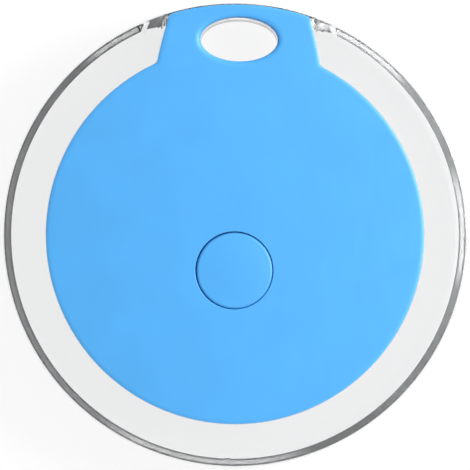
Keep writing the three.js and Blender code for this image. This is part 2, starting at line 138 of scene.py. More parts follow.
# Rear cover.
REAR_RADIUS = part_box("rear_cover")[1].x
REAR_EDGE = 0.4 * MM
SPIGOT_TOP = 3.9 * MM
CRADLE_INNER = 10.25 * MM
CRADLE_OUTER = 11.05 * MM
CRADLE_TOP = 3.6 * MM
CRADLE_EDGE = 0.2 * MM
STRAP_GAP = 9.0 * MM
PRY_WIDTH = 5.0 * MM
PRY_DEPTH = 0.6 * MM
PRY_REACH = 0.7 * MM

LAP = 0.05 * MM  # how far joined solids run into each other

# How finely round shapes are cut.
AROUND = 240
ROUND_STEPS = 6
CORNER_STEPS = 5
SIDE_STEPS = 10
TIP_CORNER_STEPS = 8
TIP_STEPS = 36
LAND = 0.03 * MM  # flat strip between a rounded edge and the face beside it
SHARP_ANGLE = 30  # degrees; edges sharper than this stay crisp
DRESSED_ANGLE = 40  # degrees; a CAD piece's edges sharper than this are rounded
FLAT_WEIGHT = 100  # flat faces take all of the shading at the vertices they share

# The board. Copper and ink stand a little above it, and parts have their pads on it.
BOARD_EDGE = 0.05 * MM
BOARD_HOLE_GAP = 0.5 * MM  # between the hole's wall and the board
BOARD_SLOT_GAP = 0.2 * MM
PAD = 0.035 * MM
INK = 0.012 * MM
TRACK = 0.16 * MM
LANE = 0.42 * MM  # between the two tracks of a route
VIA_CIRCLE = 13.85 * MM
VIA_RADIUS = 0.3 * MM
VIA_STEP = 12  # degrees
ANTENNA_START = 75  # degrees round the board, where the vias leave room for the antenna
ANTENNA_END = 160
TEST_PADS_AT = (2.0 * MM, -11.6 * MM)
TEST_PAD_STEP = 1.6 * MM
TEST_PAD_RADIUS = 0.55 * MM

ROUTES = {
    "ble_chip": "crystal rf_inductor capacitor_4 resistor_1 resistor_2 capacitor_5",
    "capacitor_1": "capacitor_2",
    "capacitor_5": "capacitor_6 status_led",
    "resistor_2": "switch_base",
    "switch_base": "status_led",
    "status_led": "resistor_3",
    "resistor_3": "buzzer_transistor",
    "resistor_4": "buzzer_transistor",
    "buzzer_transistor": "buzzer_inductor",
    "buzzer_inductor": "buzzer_case",
}
OUTLINED = ("ble_chip", "crystal", "switch_base", "buzzer_case", "buzzer_inductor", "buzzer_transistor")

# Parts on the board.
CORNERS = ((-1, -1), (-1, 1), (1, -1), (1, 1))
CHIP_STANDOFF = 0.12 * MM
DRUM_BASE = 0.2 * MM
DRUM_PLATE = 0.2 * MM
DRUM_FLANGE = 1.35 * MM
DRUM_WAIST = 0.75 * MM
DRUM_COIL = 1.12 * MM

# Coin cell.
CELL_SHEET = 0.25 * MM
CELL_EDGE = 0.3 * MM

# ---- colours, floor, lights and camera ----

WHITE = (1.0, 1.0, 1.0, 1.0)
BACKDROP_COLOUR = (0.8, 0.8, 0.8, 1.0)
BLUE = (0.076, 0.402, 0.85)
CLEAR = (0.94, 0.944, 0.948)
CORE_GREY = (0.50, 0.505, 0.51)

FLOOR_GLOW = 0.87  # the tag lies on a light table
FLOOR_COLOUR = (0.15, 0.15, 0.15, 1.0)
FLOOR_SIZE = 2.0
FLOOR_DROP = 0.02 * MM

# Brightness of the surroundings. Heights are sines of the elevation.
WORLD_HORIZON = 0.27
WORLD_TOP = 0.32
WORLD_RISE = 0.5
WORLD_LEAN = 0.05  # brighter on the +X side
COLLAR_LIGHT = 0.25  # a ring of soft light round the camera
COLLAR_FOOT = (0.62, 0.72)
COLLAR_TOP = (0.97, 0.92)
BACKDROP = 0.93  # what the camera sees of the world

# Strip lights on the horizon: azimuth and half-width in degrees, height and radiance.
STRIPS = (
    (3.0, 16.0, 0.12, 10.5),
    (56.0, 14.0, 0.2, 15.0),
    (122.5, 10.0, 0.12, 7.0),
    (200.0, 60.0, 0.12, 1.5),
    (263.0, 29.0, 0.12, 6.8),
)
STRIP_FOOT = -0.05  # they end just below the horizon

KEY_AZIMUTH = 16.0  # degrees from +X
KEY_ELEVATION = 45.0
KEY_DISTANCE = 0.22
KEY_SIZE = 0.11
KEY_POWER = 0.5

CAMERA_HEIGHT = 0.398
CAMERA_WIDTH = 42.5 * MM  # what the picture spans at the front of the frame
CAMERA_ROLL = 1.2  # degrees
CAMERA_CLIP = 0.01
SENSOR = 36.0


# ---- mesh tools ----

def oval(half_width, half_height, centre, count):
    points = []
    for i in range(count):
        angle = 2 * math.pi * i / count
        points.append((centre[0] + half_width * math.cos(angle), centre[1] + half_height * math.sin(angle)))
    return points


def circle(radius, centre=(0.0, 0.0), count=AROUND):
    return oval(radius, radius, centre, count)


def polar(radius, angle):
    return radius * math.cos(angle), radius * math.sin(angle)


def arc(radius, start, end, count):
    return [polar(radius, start + (end - start) * i / count) for i in range(count + 1)]


def bend(a, control, b, count):
    """Points of a quadratic curve from a to b, without a itself."""
    points = []
    for i in range(1, count + 1):
        t = i / count
        u = 1 - t
        points.append(tuple(u * u * a[k] + 2 * u * t * control[k] + t * t * b[k] for k in (0, 1)))
    return points


def ring_of(bm, points, z):
    return [bm.verts.new((x, y, z)) for x, y in points]


def loop_edges(bm, ring):
    pairs = zip(ring, ring[1:] + ring[:1])
    return [bm.edges.get(pair) or bm.edges.new(pair) for pair in pairs]


def bridge(bm, lower, upper):
    count = len(lower)
    for i in range(count):
        j = (i + 1) % count
        bm.faces.new((lower[i], lower[j], upper[j], upper[i]))


def fill(bm, rings):
    edges = [edge for ring in rings for edge in loop_edges(bm, ring)]
    bmesh.ops.triangle_fill(bm, use_beauty=True, edges=edges, normal=(0, 0, 1))


def straight(bottom, top):
    """The (offset, z) path of an upright wall."""
    return [(0.0, bottom), (0.0, top)]


def rounded(bottom, top, edge, side=-1, dip=None):
    """The path of a wall with a rounded upper edge; side is -1 outside and 1 in a hole.

    It ends in a narrow flat land, so that the shading of the face beside it stays even.
    """
    dip = dip or edge
    path = [(0.0, bottom)]
    for i in range(ROUND_STEPS + 1):
        angle = math.pi / 2 * i / ROUND_STEPS
        path.append((side * edge * (1 - math.cos(angle)), top - dip + dip * math.sin(angle)))
    path.append((side * (edge + LAND), top))
    return path


def wall(bm, outline, path):
    """A wall through outline(offset) at each (offset, z) of its path."""
    rings = [ring_of(bm, outline(offset), z) for offset, z in path]
    for lower, upper in zip(rings, rings[1:]):
        bridge(bm, lower, upper)
    return rings[0], rings[-1]


def prism(outline, path, holes=()):
    """A solid between flat ends, inside one wall and outside the walls of its holes."""
    bm = bmesh.new()
    ends = [wall(bm, outline, path)]
    for hole, hole_path in holes:
        ends.append(wall(bm, hole, hole_path))
    fill(bm, [lower for lower, _ in ends])
    fill(bm, [upper for _, upper in ends])
    bmesh.ops.recalc_face_normals(bm, faces=bm.faces)
    return bm


def lathe(profile, centre=(0.0, 0.0), count=AROUND):
    """A closed (radius, z) profile turned about Z. Points on the axis are shared."""
    bm = bmesh.new()
    rings = []
    for radius, z in profile:
        if radius == 0.0:
            rings.append([bm.verts.new((centre[0], centre[1], z))] * count)
        else:
            rings.append(ring_of(bm, circle(radius, centre, count), z))
    for lower, upper in zip(rings, rings[1:] + rings[:1]):
        for i in range(count):
            j = (i + 1) % count
            corners = list(dict.fromkeys((lower[i], lower[j], upper[j], upper[i])))
            if len(corners) > 2:
                bm.faces.new(corners)
    bmesh.ops.recalc_face_normals(bm, faces=bm.faces)
    return bm


def quarter(radius, z, edge, start=0.0):
    """Profile points of a quarter round about (radius, z), from an angle in quarter turns."""
    points = []
    for i in range(ROUND_STEPS + 1):
        angle = math.pi / 2 * (start + i / ROUND_STEPS)
        points.append((radius + edge * math.cos(angle), z + edge * math.sin(angle)))
    return points


def block(width, depth, bottom, top, x=0.0, y=0.0, turn=0.0):
    bm = bmesh.new()
    at = Matrix.Translation((x, y, (bottom + top) / 2)) @ Matrix.Rotation(turn, 4, "Z")
    size = Matrix.Diagonal((width, depth, top - bottom, 1.0))
    bmesh.ops.create_cube(bm, size=1.0, matrix=at @ size)
    return bm


def add(name, data):
    obj = bpy.data.objects.new(name, data)
    bpy.context.scene.collection.objects.link(obj)
    return obj


def new_object(name, bm):
    mesh = bpy.data.meshes.new(name)
    bm.to_mesh(mesh)
    bm.free()
    return add(name, mesh)


def gather(parts):
    """One mesh that holds several."""
    whole = bmesh.new()
    for part in parts:
        mesh = bpy.data.meshes.new("part")
        part.to_mesh(mesh)
        part.free()
        whole.from_mesh(mesh)
        bpy.data.meshes.remove(mesh)
    return whole


def combine(operation, bm, *others):
    """What booleans of closed meshes leave. All of them are used up."""
    for other in others:
        body = new_object("body", bm)
        tool = new_object("tool", other)
        modifier = body.modifiers.new("combine", "BOOLEAN")
        modifier.operation = operation
        modifier.solver = "EXACT"
        modifier.object = tool
        bm = bmesh.new()
        bm.from_object(body, bpy.context.evaluated_depsgraph_get())
        bpy.data.objects.remove(body)
        bpy.data.objects.remove(tool)
    return bm


def cut(bm, *tools):
    return combine("DIFFERENCE", bm, *tools)


def join(bm, *others):
    return combine("UNION", bm, *others)


def smooth(obj):
    """Smooth shading that stays crisp at sharp edges and even on large flat faces."""
    obj.data.shade_smooth()
    obj.data.set_sharp_from_angle(angle=math.radians(SHARP_ANGLE))
    modifier = obj.modifiers.new("even_normals", "WEIGHTED_NORMAL")
    modifier.keep_sharp = True
    modifier.weight = FLAT_WEIGHT


def place(name, bm, material, slot, *nodes, body="housing"):
    """A piece with its material, the CAD nodes it stands for and the body it moves with. Its record slot is
    not used.
    """
    obj = new_object(name, bm)
    obj.data.materials.append(material)
    smooth(obj)
    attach(obj, body)
    if nodes:
        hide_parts(*nodes)


# ---- outlines ----

def ellipse(grow):
    """The key-ring hole, grown outwards."""
    return oval(HOLE_HALF_WIDTH + grow, HOLE_HALF_HEIGHT + grow, (0.0, HOLE_CENTRE), AROUND // 2)


def round_outline(radius, centre_y=0.0):
    return lambda grow: circle(radius + grow, (0.0, centre_y))


def cover_outline(grow=0.0, tongue_radius=TONGUE_RADIUS):
    """The disc with its tongue, grown by an even distance."""
    radius = COVER_RADIUS + grow
    tongue = tongue_radius + grow
    base = TONGUE_BASE + grow
    tip = TONGUE_TIP + grow
    base_angle = math.acos(base / radius)
    base_point = (base, radius * math.sin(base_angle))
    tip_y = math.sqrt(tongue ** 2 - tip ** 2)
    side_end = (tip, tip_y - TONGUE_CORNER)
    side_control = ((base + tip) / 2 + TONGUE_BOW, (base_point[1] + side_end[1]) / 2)
    throat_angle = base_angle - THROAT / radius
    throat_start = polar(radius, throat_angle)
    throat_end = (base_point[0] - THROAT_LEAN * THROAT, base_point[1] + THROAT)
    tip_angle = math.acos((tip - TONGUE_CORNER) / tongue)
    tip_start = polar(tongue, tip_angle)
    right = bend(throat_start, base_point, throat_end, ROUND_STEPS)
    right += bend(throat_end, side_control, side_end, SIDE_STEPS)
    right += bend(side_end, (tip, tip_y), tip_start, TIP_CORNER_STEPS)
    left = [(-x, y) for x, y in reversed(right)]
    top = arc(tongue, tip_angle, math.pi - tip_angle, TIP_STEPS)[1:-1]
    bottom = arc(radius, math.pi - throat_angle, 2 * math.pi + throat_angle, AROUND)
    return right + top + left + bottom


def hole_column(grow, bottom, top):
    """A column over the key-ring hole, grown outwards."""
    return prism(lambda more: ellipse(grow + more), straight(bottom, top))


# ---- pieces that show from outside ----

def cover_pocket():
    pocket = prism(round_outline(SPIGOT_INNER), straight(FRONT_SEAT - LAP, TAG_TOP - COVER_PLATE))
    return cut(pocket, hole_column(HOLE_WALL, FRONT_SEAT - 2 * LAP, TAG_TOP))


def cover_spigot():
    path = straight(COVER_LOW.z, TAG_TOP - COVER_PLATE + LAP)
    spigot = prism(round_outline(SPIGOT_OUTER), path, [(round_outline(SPIGOT_INNER), path)])
    return cut(spigot, hole_column(HOLE_ROOM, COVER_LOW.z - LAP, FRONT_SEAT))


def front_cover(material):
    mouth = (ellipse, rounded(FRONT_SEAT, TAG_TOP, HOLE_EDGE, 1, HOLE_DIP))
    opening = (round_outline(BUTTON_OPENING, BUTTON_CENTRE), rounded(FRONT_SEAT, TAG_TOP, GROOVE_EDGE, 1))
    shell = prism(cover_outline, rounded(FRONT_SEAT, TAG_TOP, COVER_EDGE, -1, COVER_DIP), [mouth, opening])
    cover = join(cut(shell, cover_pocket()), cover_spigot())
    place("front_cover_moulding", cover, material, "cover_blue", "front_cover", body="lid")


def rear_cover(material):
    profile = [(0.0, 0.0)]
    profile += quarter(REAR_RADIUS - REAR_EDGE, REAR_EDGE, REAR_EDGE, -1.0)
    profile += [(REAR_RADIUS, SPIGOT_TOP), (SPIGOT_INNER, SPIGOT_TOP), (SPIGOT_INNER, COVER_PLATE)]
    profile.append((CRADLE_OUTER, COVER_PLATE))
    profile += quarter(CRADLE_OUTER - CRADLE_EDGE, CRADLE_TOP - CRADLE_EDGE, CRADLE_EDGE)
    profile += [(CRADLE_INNER, CRADLE_TOP), (CRADLE_INNER, COVER_PLATE), (0.0, COVER_PLATE)]
    gap = block(2 * CRADLE_OUTER + MM, STRAP_GAP, COVER_PLATE - LAP / 2, 2 * CRADLE_TOP)
    hole = hole_column(HOLE_ROOM, -MM, 2 * SPIGOT_TOP)
    notch = block(PRY_WIDTH, 2 * PRY_REACH, -MM, PRY_DEPTH, 0.0, -REAR_RADIUS)
    cover = cut(lathe(profile), gap, hole, notch)
    place("rear_cover_moulding", cover, material, "cover_blue", "rear_cover")


def button_cap(material):
    hollow = BUTTON_RADIUS - BUTTON_WALL
    profile = [(0.0, BUTTON_LOW.z), (BUTTON_POST, BUTTON_LOW.z), (BUTTON_POST, BUTTON_FLANGE_TOP)]
    profile += [(hollow, BUTTON_FLANGE_TOP), (hollow, BUTTON_FLANGE_BOTTOM)]
    profile += [(BUTTON_FLANGE, BUTTON_FLANGE_BOTTOM), (BUTTON_FLANGE, BUTTON_FLANGE_TOP)]
    profile.append((BUTTON_RADIUS, BUTTON_FLANGE_TOP))
    profile += quarter(BUTTON_RADIUS - BUTTON_EDGE, TAG_TOP - BUTTON_EDGE, BUTTON_EDGE)
    profile.append((0.0, TAG_TOP))
    cap = lathe(profile, BUTTON_REST, AROUND // 2)
    place("button_cap_moulding", cap, material, "cover_blue", "button_cap", body="button")


def relief_cone():
    """Everything outside a 45 degree cone that opens upwards."""
    below = 1.0 * MM
    reach = 4.0 * MM
    outer = RELIEF_RADIUS + reach
    profile = [(RELIEF_RADIUS - below, -below), (outer, -below), (outer, reach)]
    return lathe(profile, (0.0, RELIEF_CENTRE), 3 * AROUND)


def relief_rib(side):
    """A rib that fills the relief and the chamfer down to the frame's rear face."""
    rib = block(RIB_WIDTH, RIB_LENGTH, FRAME_LOW.z, FRAME_LOW.z + MM, side * RIB_X, RIB_Y, side * RIB_LEAN)
    rim = prism(round_outline(FRAME_RADIUS), straight(FRAME_LOW.z - MM, FRAME_HIGH.z))
    return combine("INTERSECT", rib, rim)


def cover_seat():
    """The seat of the front cover with its bevelled lip, as a cut that runs out past the frame's edge."""
    beyond = 1.0 * MM
    slope = LIP_WIDTH / LIP_DEPTH
    path = straight(FRONT_SEAT, FRAME_HIGH.z - LIP_DEPTH)
    path.append((LIP_WIDTH + slope * LIP_DEPTH, FRAME_HIGH.z + LIP_DEPTH))
    return prism(lambda grow: cover_outline(COVER_GAP + grow, FRAME_RADIUS + beyond), path)


def clear_frame(material):
    profile = [(FRAME_BORE, FRAME_LOW.z), (FRAME_RADIUS - FRAME_CHAMFER, FRAME_LOW.z)]
    profile.append((FRAME_RADIUS, FRAME_LOW.z + FRAME_CHAMFER))
    profile += quarter(FRAME_RADIUS - FRAME_EDGE, FRAME_HIGH.z - FRAME_EDGE, FRAME_EDGE)
    profile.append((FRAME_BORE, FRAME_HIGH.z))
    body = cut(lathe(profile), cover_seat())
    body = join(body, hole_column(HOLE_WALL, FRAME_LOW.z, FRONT_SEAT))
    body = cut(body, relief_cone())
    body = join(body, relief_rib(-1), relief_rib(1))
    body = cut(body, hole_column(0.0, 0.0, TAG_TOP), hole_column(SLEEVE_WALL, 0.0, SLEEVE_TOP))
    place("clear_frame_moulding", body, material, "clear_plastic", "clear_frame")


def hole_sleeve(material):
    """A grey tube that lines the rear half of the key-ring hole."""
    path = straight(FRAME_LOW.z, SLEEVE_TOP - SLEEVE_GAP)
    tube = prism(lambda grow: ellipse(SLEEVE_WALL - SLEEVE_GAP + grow), path, [(ellipse, path)])
    place("hole_sleeve", tube, material, "inner_grey")


def inner_frame(material):
    ledge_top = BOARD_LOW.z
    ledge_bottom = ledge_top - LEDGE_HEIGHT
    profile = [(INNER_BORE, INNER_LOW.z), (INNER_HIGH.x, INNER_LOW.z), (INNER_HIGH.x, INNER_FLANGE_TOP)]
    profile += [(INNER_RADIUS, INNER_FLANGE_TOP), (INNER_RADIUS, INNER_HIGH.z), (INNER_BORE, INNER_HIGH.z)]
    profile += [(INNER_BORE, ledge_top), (LEDGE_BORE, ledge_top)]
    profile += [(LEDGE_BORE, ledge_bottom), (INNER_BORE, ledge_bottom)]
    key_depth = INNER_BORE + LAP - KEY_REACH
    key_top = BOARD_TOP - KEY_DROP
    key_bottom = ledge_bottom + LAP
    key = block(2 * KEY_HALF_WIDTH, key_depth, key_bottom, key_top, 0.0, -KEY_REACH - key_depth / 2)
    body = cut(join(lathe(profile), key), hole_column(HOLE_ROOM, -MM, TAG_TOP))
    place("inner_frame_moulding", body, material, "inner_grey", "inner_frame")


# ---- materials ----

class Tree:
    """Short calls for the nodes that the materials and the world use."""

    def __init__(self, tree):
        self.tree = tree

    def link(self, source, target):
        self.tree.links.new(source, target)

    def node(self, kind, *values, **settings):
        """A new node. Each value is linked or set at one of its inputs, in their order."""
        made = self.tree.nodes.new(kind)
        for key, value in settings.items():
            setattr(made, key, value)
        for socket, value in zip(made.inputs, values):
            if isinstance(value, bpy.types.NodeSocket):
                self.link(value, socket)
            else:
                socket.default_value = value
        return made

    def out(self, kind, *values, **settings):
        """The first output of a new node."""
        return self.node(kind, *values, **settings).outputs[0]

    def math(self, operation, *values):
        return self.out("ShaderNodeMath", *values, operation=operation)

    def spread(self, source, low, high, out_low=0.0, out_high=1.0, kind="LINEAR"):
        """Maps low..high to out_low..out_high and stays there outside that range."""
        return self.out("ShaderNodeMapRange", source, low, high, out_low, out_high, interpolation_type=kind)


class Look(Tree):
    """A Principled material and the nodes that feed it. Textures are fixed to the object, in metres."""

    def __init__(self, name, **values):
        self.material = bpy.data.materials.new(name)
        self.material.use_nodes = True
        super().__init__(self.material.node_tree)
        self.shader = self.tree.nodes["Principled BSDF"]
        self.place = self.node("ShaderNodeTexCoord").outputs["Object"]
        for key, value in values.items():
            self.shader.inputs[key.replace("_", " ")].default_value = value

    def stretched(self, x, y, z):
        """The place with each axis scaled, which stretches a texture's grain the other way."""
        return self.out("ShaderNodeMapping", self.place, ORIGIN, ORIGIN, (x, y, z))

    def noise(self, size, detail=2.0, place=None):
        """Noise whose features are about size metres across."""
        return self.out("ShaderNodeTexNoise", place or self.place, 0.0, 1.0 / size, detail)

    def specks(self, spacing, radius):
        """1 at small round specks, one in most cells of a grid of that spacing, and 0 between them."""
        distance = self.out("ShaderNodeTexVoronoi", self.place, 0.0, 1.0 / spacing)
        return self.spread(distance, radius / spacing, 0.6 * radius / spacing)

    def weave(self, pitch):
        """Crossed bands that repeat every pitch metres."""
        scale = math.pi / 10 / pitch
        bands = [self.node("ShaderNodeTexWave", self.place, scale, bands_direction=axis) for axis in "XY"]
        return self.math("MAXIMUM", *[band.outputs["Fac"] for band in bands])

    def colour(self, factor, first, second):
        """Base colour between two colours."""
        made = self.node("ShaderNodeMix", data_type="RGBA")
        self.link(factor, made.inputs["Factor"])
        first_socket, second_socket = [s for s in made.inputs if s.type == "RGBA"]
        first_socket.default_value = (*first, 1.0)
        second_socket.default_value = (*second, 1.0)
        mixed = next(s for s in made.outputs if s.type == "RGBA")
        self.link(mixed, self.shader.inputs["Base Color"])

    def mottled(self, cloud, colour, low, high):
        """Base colour in clouds between two shares of a colour."""
        self.colour(self.spread(cloud, 0.3, 0.7), tinted(colour, low), tinted(colour, high))

    def roughness(self, factor, low, high):
        self.link(self.spread(factor, 0.3, 0.7, low, high), self.shader.inputs["Roughness"])

    def bump(self, height, depth):
        """A bump of depth metres where height goes from 0 to 1."""
        made = self.node("ShaderNodeBump", 1.0, depth)
        self.link(height, made.inputs["Height"])
        self.link(made.outputs["Normal"], self.shader.inputs["Normal"])


def tinted(colour, share):
    return tuple(min(1.0, c * share) for c in colour)


def blue_plastic():
    """Satin moulded ABS: nearly even colour, a fine spark-eroded grain and a few faint scuffs."""
    look = Look("blue_plastic", IOR=1.50)
    look.mottled(look.noise(5 * MM, 3.0), BLUE, 0.97, 1.03)
    scuffs = look.noise(0.4 * MM, 4.0, look.stretched(1.0, 0.12, 1.0))
    look.roughness(scuffs, 0.36, 0.47)
    look.bump(look.noise(0.1 * MM, 2.0), 0.0015 * MM)
    return look.material


def clear_plastic():
    """Polished polycarbonate, with hairline wear in its gloss and sparse specks of dust in the moulding."""
    look = Look("clear_plastic", Transmission_Weight=1.0, IOR=1.5)
    look.colour(look.specks(1.3 * MM, 0.05 * MM), CLEAR, tinted(CLEAR, 0.86))
    wear = look.noise(0.3 * MM, 4.0, look.stretched(1.0, 0.08, 1.0))
    look.link(look.spread(wear, 0.62, 0.75, 0.012, 0.09), look.shader.inputs["Roughness"])
    return look.material


def moulded(name, colour, low, high, grain, depth):
    """A plain moulded plastic or resin with a matt grain of that size and depth."""
    look = Look(name)
    look.mottled(look.noise(20 * grain, 3.0), colour, 0.9, 1.1)
    fine = look.noise(grain, 3.0)
    look.roughness(fine, low, high)
    look.bump(fine, depth)
    return look.material


def grey_plastic():
    return moulded("grey_plastic", CORE_GREY, 0.16, 0.24, 0.15 * MM, 0.0004 * MM)


# ---- stage ----

def floor():
    """A pale light table, just under the tag. It is clear from below, so that the tag's back can be seen."""
    bpy.ops.mesh.primitive_plane_add(size=FLOOR_SIZE, location=(0, 0, -FLOOR_DROP))
    plane = bpy.context.object
    plane.name = "floor"
    look = Look("floor_paper", Roughness=0.9, Emission_Color=WHITE, Emission_Strength=FLOOR_GLOW)
    look.shader.inputs["Base Color"].default_value = FLOOR_COLOUR
    behind = look.node("ShaderNodeNewGeometry").outputs["Backfacing"]
    clear = look.out("ShaderNodeBsdfTransparent")
    sides = look.out("ShaderNodeMixShader", behind, look.shader.outputs[0], clear)
    look.link(sides, look.tree.nodes["Material Output"].inputs["Surface"])
    plane.data.materials.append(look.material)


def strip_light(tree, x, y, z, level, azimuth, half_width, height, radiance):
    """One strip light in the sky's direction x, y, z, whose level part is level long."""
    angle = math.radians(azimuth)
    along = tree.math("MULTIPLY_ADD", x, math.cos(angle), tree.math("MULTIPLY", y, math.sin(angle)))
    towards = tree.math("DIVIDE", along, level)
    edge = math.cos(math.radians(half_width))
    core = math.cos(math.radians(0.5 * half_width))
    across = tree.spread(towards, edge, core, kind="SMOOTHSTEP")
    upright = tree.spread(z, height, 0.7 * height, 0.0, radiance, kind="SMOOTHSTEP")
    return tree.math("MULTIPLY", across, upright)


def studio_light(tree, x, y, z):
    """Light from each direction: dim near the horizon, brighter overhead and on the +X side, with strips."""
    light = tree.spread(z, 0.0, WORLD_RISE, WORLD_HORIZON, WORLD_TOP)
    foot = tree.spread(z, *COLLAR_FOOT, kind="SMOOTHSTEP")
    top = tree.spread(z, *COLLAR_TOP, kind="SMOOTHSTEP")
    light = tree.math("MULTIPLY_ADD", tree.math("MULTIPLY", foot, top), COLLAR_LIGHT, light)
    light = tree.math("MULTIPLY", light, tree.spread(x, -1.0, 1.0, 1 - WORLD_LEAN, 1 + WORLD_LEAN))
    squares = tree.math("ADD", tree.math("MULTIPLY", x, x), tree.math("MULTIPLY", y, y))
    level = tree.math("SQRT", squares)
    above = tree.spread(z, STRIP_FOOT, 0.0)
    for strip in STRIPS:
        light = tree.math("MULTIPLY_ADD", strip_light(tree, x, y, z, level, *strip), above, light)
    return light


def world():
    """Studio surroundings. The camera itself sees a plain pale backdrop."""
    made = bpy.data.worlds.new("studio")
    bpy.context.scene.world = made
    made.use_nodes = True
    tree = Tree(made.node_tree)
    direction = tree.node("ShaderNodeTexCoord").outputs["Generated"]
    split = tree.node("ShaderNodeSeparateXYZ", direction)
    studio = tree.out("ShaderNodeBackground", WHITE, studio_light(tree, *split.outputs))
    backdrop = tree.out("ShaderNodeBackground", BACKDROP_COLOUR, BACKDROP)
    to_camera = tree.node("ShaderNodeLightPath").outputs["Is Camera Ray"]
    choice = tree.out("ShaderNodeMixShader", to_camera, studio, backdrop)
    tree.link(choice, made.node_tree.nodes["World Output"].inputs["Surface"])


def key_light():
    """A soft panel near the tag, so that its light falls off from right to left."""
    data = bpy.data.lights.new("key", "AREA")
    data.shape = "DISK"
    data.size = KEY_SIZE
    data.energy = KEY_POWER
    obj = add("key", data)
    rise = math.radians(KEY_ELEVATION)
    away = Vector((*polar(math.cos(rise), math.radians(KEY_AZIMUTH)), math.sin(rise)))
    obj.location = KEY_DISTANCE * away
    obj.rotation_mode = "QUATERNION"
    obj.rotation_quaternion = away.to_track_quat("Z", "Y")
    obj.visible_camera = False
    obj.visible_transmission = False


def camera():
    data = bpy.data.cameras.new("camera")
    obj = add("camera", data)
    obj.location = (0, 0, CAMERA_HEIGHT)
    obj.rotation_euler = (0, 0, math.radians(CAMERA_ROLL))
    reach = CAMERA_HEIGHT - FRAME_HIGH.z
    data.sensor_width = SENSOR
    data.lens = SENSOR * reach / CAMERA_WIDTH
    data.clip_start = CAMERA_CLIP
    bpy.context.scene.camera = obj


# ---- materials of the pieces inside ----

def metal(name, colour, low, high, x=1.0, y=1.0, grain=0.25 * MM):
    """Worked metal. x and y under 1 draw its grain out along that axis, as brushing or rolling does."""
    look = Look(name, Metallic=1.0)
    fine = look.noise(grain, 4.0, look.stretched(x, y, 1.0))
    cloud = look.noise(12 * grain)
    look.mottled(cloud, colour, 0.86, 1.08)
    look.roughness(look.math("MULTIPLY_ADD", fine, 0.7, look.math("MULTIPLY", cloud, 0.3)), low, high)
    look.bump(fine, 0.0012 * MM)
    return look.material


def solder_mask(name, colour):
    """Glossy lacquer over woven glass, which shows through as a faint weave."""
    look = Look(name, IOR=1.52, Coat_Weight=0.35, Coat_Roughness=0.12)
    look.mottled(look.noise(2 * MM, 3.0), colour, 0.85, 1.15)
    look.roughness(look.noise(0.3 * MM, 3.0), 0.28, 0.42)
    look.bump(look.weave(0.45 * MM), 0.003 * MM)
    return look.material


def led_lens():
    look = Look("led_lens", IOR=1.5, Transmission_Weight=0.25, Coat_Weight=0.5)
    look.colour(look.spread(look.noise(0.15 * MM, 3.0), 0.3, 0.7), (0.85, 0.66, 0.16), (0.93, 0.80, 0.32))
    look.roughness(look.noise(0.08 * MM), 0.22, 0.35)
    return look.material


def black_resin(name, low, high, grain):
    return moulded(name, (0.022, 0.022, 0.024), low, high, grain, 0.003 * MM)


# ---- small shapes ----

def rounded_block(width, depth, bottom, top, x, y, edge):
    bm = block(width, depth, bottom, top, x, y)
    bmesh.ops.bevel(bm, geom=bm.edges[:], offset=edge, segments=2, profile=0.5, affect="EDGES")
    return bm


def rectangle(width, depth, corner, x=0.0, y=0.0):
    """Outline of a rectangle with round corners, as a function of how far it is grown."""
    def outline(grow):
        points = []
        for i, (side_x, side_y) in enumerate(((1, 1), (-1, 1), (-1, -1), (1, -1))):
            centre_x = x + side_x * (width / 2 - corner)
            centre_y = y + side_y * (depth / 2 - corner)
            turn = i * math.pi / 2
            for px, py in arc(corner + grow, turn, turn + math.pi / 2, CORNER_STEPS):
                points.append((centre_x + px, centre_y + py))
        return points
    return outline


def bar(profile, half_width, x, y, z, turn=0.0):
    """A solid of even width with an (out, up) profile, placed at x, y, z and turned to face out."""
    bm = bmesh.new()
    ends = [[bm.verts.new((out, side, up)) for out, up in profile] for side in (-half_width, half_width)]
    bm.faces.new(ends[0])
    bm.faces.new(ends[1])
    bridge(bm, *ends)
    bmesh.ops.recalc_face_normals(bm, faces=bm.faces)
    bm.transform(Matrix.Translation((x, y, z)) @ Matrix.Rotation(turn, 4, "Z"))
    return bm


def facing(side):
    """The turn that points a bar along +X, or along -X for a negative side."""
    return 0.0 if side > 0 else math.pi


def disc(radius, bottom, top, centre, count):
    return lathe([(0.0, bottom), (radius, bottom), (radius, top), (0.0, top)], centre, count)


def washer(outer, inner, bottom, top, centre, count):
    return lathe([(inner, bottom), (outer, bottom), (outer, top), (inner, top)], centre, count)


def pill(radius, bottom, top, edge, centre, count=48):
    """A disc whose upper edge is rounded."""
    profile = [(0.0, bottom), (radius, bottom)]
    profile += quarter(radius - edge, top - edge, edge)
    profile.append((0.0, top))
    return lathe(profile, centre, count)


def solder(width, height):
    """Profile of the solder that wets up a metal end: a hollow curve from the pad to the part."""
    hollow = 0.22
    control = (hollow * width, hollow * height)
    return [(0.0, 0.0), (width, 0.0)] + bend((width, 0.0), control, (0.0, height), CORNER_STEPS)


def gull_wing(reach, shoulder, thick):
    """Profile of a leg that leaves a body at shoulder height, turns down and ends in a foot."""
    knee = 0.35 * reach
    upper = [(-knee, shoulder), (0.6 * knee, shoulder), (knee + 0.5 * thick, thick), (reach, thick)]
    lower = [(reach, 0.0), (knee, 0.0), (0.4 * knee, shoulder - thick), (-knee, shoulder - thick)]
    return upper + lower


def four_legs(node, profile, half_width, spacing):
    """Bent legs at two places on each side of a part."""
    low, high, middle = spot(node)
    legs = []
    for side_x, side_y in CORNERS:
        x = middle.x + side_x * (high.x - low.x) / 2
        y = middle.y + side_y * spacing
        legs.append(bar(profile, half_width, x, y, low.z, facing(side_x)))
    return gather(legs)


def spot(node):
    """The corners of a CAD node's box, and x and y of its middle."""
    low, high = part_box(node)
    return low, high, ((low + high) / 2).xy


